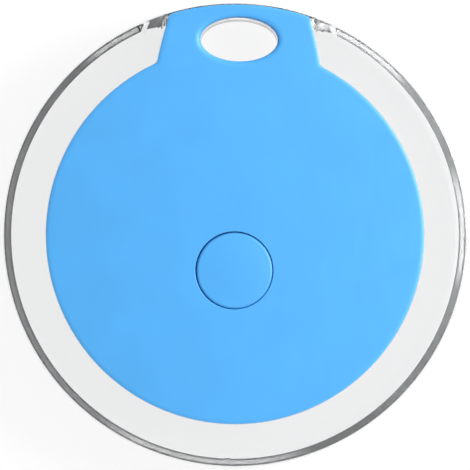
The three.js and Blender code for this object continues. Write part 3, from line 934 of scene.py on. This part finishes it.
def dress(node, material, edge):
    """A CAD piece that keeps its shape: a material, and a fine round along its sharp edges."""
    obj = frame["nodes"][node]
    obj.data.materials.clear()
    obj.data.materials.append(material)
    bevel = obj.modifiers.new("edges", "BEVEL")
    bevel.width = edge
    bevel.segments = 2
    bevel.limit_method = "ANGLE"
    bevel.angle_limit = math.radians(DRESSED_ANGLE)
    bevel.harden_normals = True


# ---- the board ----

def circuit_board(material):
    path = [(-BOARD_EDGE, BOARD_LOW.z), (0.0, BOARD_LOW.z + BOARD_EDGE)]
    path += [(0.0, BOARD_TOP - BOARD_EDGE), (-BOARD_EDGE, BOARD_TOP)]
    laminate = prism(round_outline(BOARD_HIGH.x), path)
    hole = hole_column(HOLE_WALL + BOARD_HOLE_GAP, BOARD_LOW.z - MM, BOARD_TOP + MM)
    slot_width = 2 * KEY_HALF_WIDTH + 2 * BOARD_SLOT_GAP
    slot_depth = 2 * (BOARD_HIGH.x - KEY_REACH + BOARD_SLOT_GAP)
    slot = block(slot_width, slot_depth, BOARD_LOW.z - MM, BOARD_TOP + MM, 0.0, -BOARD_HIGH.x)
    place("board_laminate", cut(laminate, hole, slot), material, "board_green", "circuit_board")


def track(a, b):
    """A straight run of copper with a round end."""
    bottom = BOARD_TOP - PAD
    top = BOARD_TOP + 0.6 * PAD
    along = Vector(b) - Vector(a)
    centre = (Vector(a) + Vector(b)) / 2
    turn = math.atan2(along.y, along.x)
    run = block(along.length, TRACK, bottom, top, centre.x, centre.y, turn)
    return [run, disc(TRACK / 2, bottom, top, b, 12)]


def route(start, end):
    """Two tracks side by side that leave at 45 degrees and then run straight."""
    a = spot(start)[2]
    b = spot(end)[2]
    dx = b.x - a.x
    dy = b.y - a.y
    slant = min(abs(dx), abs(dy))
    corner = (a.x + math.copysign(slant, dx), a.y + math.copysign(slant, dy))
    side = (LANE / 2, 0.0) if abs(dy) > abs(dx) else (0.0, LANE / 2)
    runs = []
    for sign in (-1, 1):
        stops = [(x + sign * side[0], y + sign * side[1]) for x, y in (a, corner, b)]
        for first, last in zip(stops, stops[1:]):
            if (Vector(last) - Vector(first)).length > TRACK:
                runs += track(first, last)
    return runs


def copper_tracks(material):
    runs = []
    for start, ends in ROUTES.items():
        for end in ends.split():
            runs += route(start, end)
    place("copper_tracks", gather(runs), material, "board_green")


def via_rings(material):
    """A ring of vias that ties the ground planes together, left out at the antenna and the key."""
    rings = []
    for angle in range(0, 360, VIA_STEP):
        centre = polar(VIA_CIRCLE, math.radians(angle))
        by_antenna = ANTENNA_START < angle < ANTENNA_END
        by_key = abs(centre[0]) < 2 * KEY_HALF_WIDTH and centre[1] < 0
        if not by_antenna and not by_key:
            rings.append(washer(VIA_RADIUS, VIA_RADIUS / 2, BOARD_TOP - PAD, BOARD_TOP + PAD, centre, 24))
    place("via_rings", gather(rings), material, "contact_gold")


def test_pads(material):
    """A row of gold pads for programming the tag."""
    x, y = TEST_PADS_AT
    size = (TEST_PAD_RADIUS, BOARD_TOP - PAD, BOARD_TOP + PAD, 0.01 * MM)
    pads = [pill(*size, (x + i * TEST_PAD_STEP, y)) for i in range(4)]
    place("test_pads", gather(pads), material, "contact_gold")


def printed_frame(node):
    """A printed line round a part."""
    line = 0.12 * MM
    gap = 0.3 * MM
    low, high, middle = spot(node)
    width = high.x - low.x + 2 * gap
    depth = high.y - low.y + 2 * gap
    outer = rectangle(width, depth, 0.2 * MM, *middle)
    path = straight(BOARD_TOP - INK, BOARD_TOP + INK)
    return prism(outer, path, [(lambda grow: outer(grow - line), path)])


def silkscreen(material):
    """Printed frames round the larger parts and a dot at the chip's first pin."""
    prints = [printed_frame(node) for node in OUTLINED]
    low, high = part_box("ble_chip")
    dot = (low.x - 0.65 * MM, high.y + 0.1 * MM)
    prints.append(pill(0.16 * MM, BOARD_TOP - INK, BOARD_TOP + INK, 0.004 * MM, dot, 24))
    place("silkscreen", gather(prints), material, "led_white")


# ---- parts on the board ----

def chip_part(node, material, slot, tin):
    """A small part with two metal ends, soldered to its pads."""
    low, high, middle = spot(node)
    width, depth, height = high - low
    inset = 0.03 * MM
    edge = 0.02 * MM
    end = 0.2 * width
    body = rounded_block(width - 2 * inset, 0.94 * depth, low.z + inset, high.z - edge, *middle, edge)
    place(node + "_body", body, material, slot, node)
    fillet = solder(0.24 * MM, 0.6 * height)
    ends = []
    for side in (-1, 1):
        face = middle.x + side * width / 2
        end_x = face - side * end / 2
        ends.append(rounded_block(end, depth, low.z + 0.01 * MM, high.z, end_x, middle.y, inset))
        ends.append(block(0.6 * MM, 1.15 * depth, low.z - PAD, low.z + PAD / 2, face, middle.y))
        ends.append(bar(fillet, 0.46 * depth, face, middle.y, low.z, facing(side)))
    place(node + "_ends", gather(ends), tin, "cell_steel")


def ble_chip_body(material):
    """The chip's package, with a dimple at its first pin."""
    low, high, middle = spot("ble_chip")
    width = high.x - low.x
    inset = 0.6 * MM
    package = rounded_block(width, width, low.z + CHIP_STANDOFF, high.z, *middle, 0.05 * MM)
    at = (low.x + inset, high.y - inset)
    mark = pill(0.22 * MM, high.z - 0.04 * MM, high.z + MM, 0.01 * MM, at)
    place("ble_chip_body", cut(package, mark), material, "black_resin", "ble_chip")


def ble_chip_pads(tin):
    """Eight soldered pads along each side."""
    low, high, middle = spot("ble_chip")
    count = 8
    pitch = 0.5 * MM
    out = (high.x - low.x) / 2 - 0.1 * MM
    top = low.z + CHIP_STANDOFF + 0.02 * MM
    pads = []
    for side in range(4):
        turn = side * math.pi / 2
        for i in range(count):
            at = middle + Matrix.Rotation(turn, 2) @ Vector((out, (i - (count - 1) / 2) * pitch))
            pads.append(block(0.5 * MM, 0.26 * MM, low.z - PAD, top, *at, turn))
    place("ble_chip_pads", gather(pads), tin, "cell_steel")


def transistor(material, tin):
    """A body with drawn-in sides and three bent legs, each on its pad."""
    low, high, middle = spot("buzzer_transistor")
    waist = 0.6 * MM
    draft = 0.08 * MM
    path = [(-draft, low.z + 0.1 * MM), (0.0, low.z + waist), (-draft, high.z)]
    body = prism(rectangle(2.9 * MM, 1.3 * MM, 0.12 * MM, *middle), path)
    place("buzzer_transistor_body", body, material, "black_resin", "buzzer_transistor")
    profile = gull_wing(0.6 * MM, waist, 0.13 * MM)
    apart = 0.95 * MM
    pad = 0.6 * MM
    legs = []
    for along, side in ((-apart, -1), (apart, -1), (0.0, 1)):
        x = middle.x + along
        legs.append(bar(profile, 0.2 * MM, x, middle.y + side * 0.6 * MM, low.z, side * math.pi / 2))
        legs.append(block(pad, pad, low.z - PAD, low.z + PAD / 4, x, middle.y + side * 1.1 * MM))
    place("buzzer_transistor_legs", gather(legs), tin, "cell_steel")


def inductor_core(material):
    """A ferrite drum on a square base."""
    low, high, middle = spot("buzzer_inductor")
    base_top = low.z + DRUM_BASE
    waist_low = base_top + DRUM_PLATE
    waist_high = high.z - DRUM_PLATE
    size = 3 * MM
    edge = 0.05 * MM
    drum = [(0.0, base_top - LAP), (DRUM_FLANGE, base_top - LAP), (DRUM_FLANGE, waist_low)]
    drum += [(DRUM_WAIST, waist_low), (DRUM_WAIST, waist_high), (DRUM_FLANGE, waist_high)]
    drum += quarter(DRUM_FLANGE - edge, high.z - edge, edge)
    drum.append((0.0, high.z))
    base = rounded_block(size, size, low.z + 0.02 * MM, base_top, *middle, 0.04 * MM)
    core = join(base, lathe(drum, middle, 72))
    place("buzzer_inductor_core", core, material, "ferrite_grey", "buzzer_inductor")


def inductor_winding(wire):
    """Enamelled copper on the drum's waist, with one round per turn."""
    low, high, middle = spot("buzzer_inductor")
    bottom = low.z + DRUM_BASE + DRUM_PLATE
    top = high.z - DRUM_PLATE
    turns = 6
    steps = 6
    gauge = (top - bottom) / (2 * turns)
    coil = [(DRUM_WAIST, bottom)]
    for i in range(turns):
        z = bottom + (2 * i + 1) * gauge
        for step in range(1, steps):
            angle = math.pi * (step / steps - 0.5)
            coil.append((DRUM_COIL + gauge * math.cos(angle), z + gauge * math.sin(angle)))
    coil.append((DRUM_WAIST, top))
    place("buzzer_inductor_winding", lathe(coil, middle, 72), wire, "contact_gold")


def inductor_ends(tin):
    low, _, middle = spot("buzzer_inductor")
    fillet = solder(0.3 * MM, 0.14 * MM)
    ends = []
    for side in (-1, 1):
        end_x = middle.x + side * 1.4 * MM
        face_x = middle.x + side * 1.64 * MM
        ends.append(block(0.5 * MM, 2.2 * MM, low.z - PAD, low.z + 0.12 * MM, end_x, middle.y))
        ends.append(bar(fillet, 0.9 * MM, face_x, middle.y, low.z, facing(side)))
    place("buzzer_inductor_ends", gather(ends), tin, "cell_steel")


def status_led(material, lens, tin):
    """A lamp: a white base, a lens and two metal ends."""
    low, high, middle = spot("status_led")
    tier = low.z + 0.28 * MM
    lap = 0.02 * MM
    edge = 0.03 * MM
    base = rounded_block(1.5 * MM, 0.76 * MM, low.z + lap, tier, *middle, edge)
    place("status_led_base", base, material, "led_white", "status_led")
    outline = rectangle(1.04 * MM, 0.72 * MM, 0.14 * MM, *middle)
    place("status_led_lens", prism(outline, rounded(tier - lap, high.z, 0.1 * MM)), lens, "led_white")
    end = 0.26 * MM
    fillet = solder(0.22 * MM, 0.24 * MM)
    ends = []
    for side in (-1, 1):
        face = middle.x + side * 0.8 * MM
        end_x = face - side * end / 2
        ends.append(rounded_block(end, 0.8 * MM, low.z, tier + lap, end_x, middle.y, edge))
        ends.append(bar(fillet, 0.36 * MM, face, middle.y, low.z, facing(side)))
    place("status_led_ends", gather(ends), tin, "cell_steel")


# ---- the switch ----

def switch_base(resin):
    """A square base with a round well for the dome."""
    low, high, middle = spot("switch_base")
    size = high.x - low.x
    base = prism(rectangle(size, size, 0.35 * MM, *middle), rounded(low.z + 0.02 * MM, high.z, 0.04 * MM))
    well = prism(round_outline(2.0 * MM, middle.y), straight(low.z + 0.25 * MM, high.z + MM))
    place("switch_base_moulding", cut(base, well), resin, "black_resin", "switch_base")


def switch_cover(steel):
    """A steel plate over the well, with a tab down each side."""
    low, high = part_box("switch_cover")
    base_low, base_high, middle = spot("switch_base")
    width = high.x - low.x
    depth = base_high.x - base_low.x
    sheet = 0.15 * MM
    path = straight(base_high.z, high.z)
    opening = (round_outline(1.25 * MM, middle.y), path)
    outline = rectangle(width, depth, 0.3 * MM, *middle)
    plate = prism(outline, path, [opening])
    for side in (-1, 1):
        tab_x = middle.x + side * (width - sheet) / 2
        plate = join(plate, block(sheet, 1.6 * MM, low.z, high.z - LAP / 2, tab_x, middle.y))
    place("switch_cover_plate", plate, steel, "cell_steel", "switch_cover")


def switch_stakes(resin):
    """The heads of the four pins that hold the cover down."""
    middle = spot("switch_base")[2]
    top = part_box("switch_cover")[1].z
    reach = 2.0 * MM
    stakes = []
    for side_x, side_y in CORNERS:
        centre = (middle.x + side_x * reach, middle.y + side_y * reach)
        stakes.append(pill(0.28 * MM, top - LAP, top + 0.12 * MM, 0.1 * MM, centre))
    place("switch_stakes", gather(stakes), resin, "black_resin")


def switch_legs(tin):
    profile = gull_wing(0.9 * MM, 0.4 * MM, 0.14 * MM)
    place("switch_legs", four_legs("switch_base", profile, 0.3 * MM, 1.85 * MM), tin, "cell_steel")


def switch_dome(spring):
    """A thin disc, sprung up in the middle."""
    low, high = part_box("switch_dome")
    span = (high.x - low.x) / 2
    leaf = 0.08 * MM
    rise = high.z - low.z - leaf
    steps = 16
    under = [(span * i / steps, low.z + rise * (1 - (i / steps) ** 2)) for i in range(steps + 1)]
    over = [(radius, z + leaf) for radius, z in reversed(under)]
    sheet = lathe(under + over, spot("switch_base")[2], 96)
    place("switch_dome_disc", sheet, spring, "spring_steel", "switch_dome")


def switch_plunger(resin):
    """A pin with a flange that the cover holds in."""
    low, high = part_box("switch_plunger")
    flange = (high.x - low.x) / 2
    pin = 1.1 * MM
    step = 0.12 * MM
    profile = [(0.0, low.z), (flange, low.z), (flange, low.z + step), (pin, low.z + step)]
    profile += quarter(pin - step, high.z - step, step)
    profile.append((0.0, high.z))
    plunger = lathe(profile, spot("switch_base")[2], 96)
    place("switch_plunger_pin", plunger, resin, "black_resin", "switch_plunger", body="plunger")


# ---- the buzzer ----

def buzzer_case(resin):
    """A square case, hollow from below, with a sound hole and a groove round it."""
    low, high, middle = spot("buzzer_case")
    size = high.x - low.x
    bore = 4.1 * MM
    seat = bore - 0.3 * MM
    step = low.z + 0.8 * MM
    ceiling = high.z - 0.4 * MM
    case = prism(rectangle(size, size, 0.6 * MM, *middle), rounded(low.z, high.z, 0.2 * MM))
    hollow = [(0.0, low.z - MM), (bore, low.z - MM), (bore, step)]
    hollow += [(seat, step), (seat, ceiling), (0.0, ceiling)]
    inside = lathe(hollow, middle, 96)
    sound_hole = disc(0.8 * MM, low.z, high.z + MM, middle, 48)
    groove = washer(1.7 * MM, 1.5 * MM, high.z - 0.06 * MM, high.z + MM, middle, 72)
    place("buzzer_case_moulding", cut(case, inside, sound_hole, groove), resin, "black_resin", "buzzer_case")


def buzzer_diaphragm(brass):
    low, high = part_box("buzzer_diaphragm")
    sheet = pill((high.x - low.x) / 2, low.z, high.z, 0.03 * MM, spot("buzzer_case")[2], 120)
    place("buzzer_diaphragm_disc", sheet, brass, "diaphragm_brass", "buzzer_diaphragm")


def buzzer_terminals(tin):
    profile = gull_wing(0.7 * MM, 0.35 * MM, 0.16 * MM)
    place("buzzer_terminals", four_legs("buzzer_case", profile, 0.5 * MM, 2.6 * MM), tin, "cell_steel")


# ---- power ----

def coin_cell_can(steel):
    """A can whose wall is rolled in over the gasket."""
    low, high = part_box("coin_cell_can")
    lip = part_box("coin_cell_cap")[1].x + 0.4 * MM
    inner = high.x - CELL_SHEET
    profile = [(0.0, low.z)]
    profile += quarter(high.x - CELL_EDGE, low.z + CELL_EDGE, CELL_EDGE, -1.0)
    profile += quarter(high.x - CELL_EDGE, high.z - CELL_EDGE, CELL_EDGE)
    profile += [(lip, high.z), (lip, high.z - CELL_SHEET), (inner, high.z - CELL_SHEET)]
    profile += [(inner, low.z + CELL_SHEET), (0.0, low.z + CELL_SHEET)]
    place("coin_cell_can_shell", lathe(profile), steel, "cell_steel", "coin_cell_can")


def coin_cell_cap(steel):
    """The cap, with a shallow step pressed into its face."""
    low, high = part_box("coin_cell_cap")
    radius = high.x
    inner = radius - CELL_SHEET
    step = 0.03 * MM
    profile = [(0.0, high.z - CELL_SHEET), (inner, high.z - CELL_SHEET), (inner, low.z), (radius, low.z)]
    profile += quarter(radius - CELL_EDGE, high.z - CELL_EDGE, CELL_EDGE)
    profile += [(0.8 * radius, high.z), (0.79 * radius, high.z - step), (0.0, high.z - step)]
    place("coin_cell_cap_shell", lathe(profile), steel, "cell_steel", "coin_cell_cap")


# ---- the pieces inside, by group ----

def board_group(gold):
    circuit_board(solder_mask("solder_mask", (0.012, 0.095, 0.035)))
    copper_tracks(solder_mask("masked_copper", (0.03, 0.19, 0.065)))
    via_rings(gold)
    test_pads(gold)
    silkscreen(moulded("white_ink", (0.74, 0.74, 0.70), 0.6, 0.8, 0.06 * MM, 0.002 * MM))


def parts_group(tin):
    epoxy = black_resin("black_epoxy", 0.55, 0.75, 0.04 * MM)
    wire = metal("enamelled_copper", (0.60, 0.20, 0.07), 0.18, 0.30, grain=0.1 * MM)
    ferrite = moulded("ferrite", (0.045, 0.045, 0.05), 0.6, 0.82, 0.05 * MM, 0.004 * MM)
    ceramic = moulded("ceramic", (0.36, 0.235, 0.12), 0.35, 0.5, 0.05 * MM, 0.002 * MM)
    white = moulded("white_ceramic", (0.72, 0.70, 0.66), 0.4, 0.55, 0.05 * MM, 0.001 * MM)
    ble_chip_body(epoxy)
    ble_chip_pads(tin)
    transistor(epoxy, tin)
    inductor_core(ferrite)
    inductor_winding(wire)
    inductor_ends(tin)
    status_led(white, led_lens(), tin)
    chip_part("rf_inductor", ferrite, "ferrite_grey", tin)
    for i in range(1, 7):
        chip_part("capacitor_%d" % i, ceramic, "ceramic_tan", tin)
    for i in range(1, 5):
        chip_part("resistor_%d" % i, epoxy, "black_resin", tin)


def switch_and_buzzer_group(plate, spring, tin):
    nylon = black_resin("black_nylon", 0.42, 0.58, 0.08 * MM)
    brass = metal("rolled_brass", (0.74, 0.55, 0.26), 0.24, 0.38, 0.1, 1.0)
    switch_base(nylon)
    switch_cover(plate)
    switch_stakes(nylon)
    switch_legs(tin)
    switch_dome(spring)
    switch_plunger(nylon)
    buzzer_case(nylon)
    buzzer_diaphragm(brass)
    buzzer_terminals(tin)


def power_group(spring):
    steel = metal("brushed_nickel", (0.66, 0.655, 0.63), 0.22, 0.36, 0.06, 1.0)
    rubber = moulded("gasket_rubber", (0.16, 0.17, 0.18), 0.6, 0.8, 0.08 * MM, 0.004 * MM)
    powder = moulded("pressed_powder", (0.03, 0.028, 0.026), 0.8, 0.95, 0.06 * MM, 0.01 * MM)
    coin_cell_can(steel)
    coin_cell_cap(steel)
    dress("battery_clip", spring, 0.04 * MM)
    dress("negative_contact", spring, 0.04 * MM)
    dress("coin_cell_gasket", rubber, 0.04 * MM)
    dress("coin_cell_core", powder, 0.1 * MM)


def interior():
    gold = metal("pad_gold", (0.83, 0.60, 0.25), 0.22, 0.34, grain=0.06 * MM)
    tin = metal("solder_tin", (0.72, 0.73, 0.74), 0.22, 0.42, grain=0.08 * MM)
    plate = metal("stamped_nickel", (0.66, 0.655, 0.63), 0.26, 0.36, 0.4, 1.0, 0.05 * MM)
    spring = metal("spring_steel", (0.60, 0.585, 0.55), 0.20, 0.34, 1.0, 0.08)
    board_group(gold)
    parts_group(tin)
    switch_and_buzzer_group(plate, spring, tin)
    power_group(spring)
    dress("antenna_trace", gold, 0.01 * MM)
    dress("crystal", plate, 0.06 * MM)


# ---- the scene ----

camera()
world()
key_light()
floor()
bpy.context.scene.view_settings.view_transform = "Standard"

blue = blue_plastic()
front_cover(blue)
rear_cover(blue)
button_cap(blue)
clear_frame(clear_plastic())
grey = grey_plastic()
inner_frame(grey)
hole_sleeve(grey)
interior()
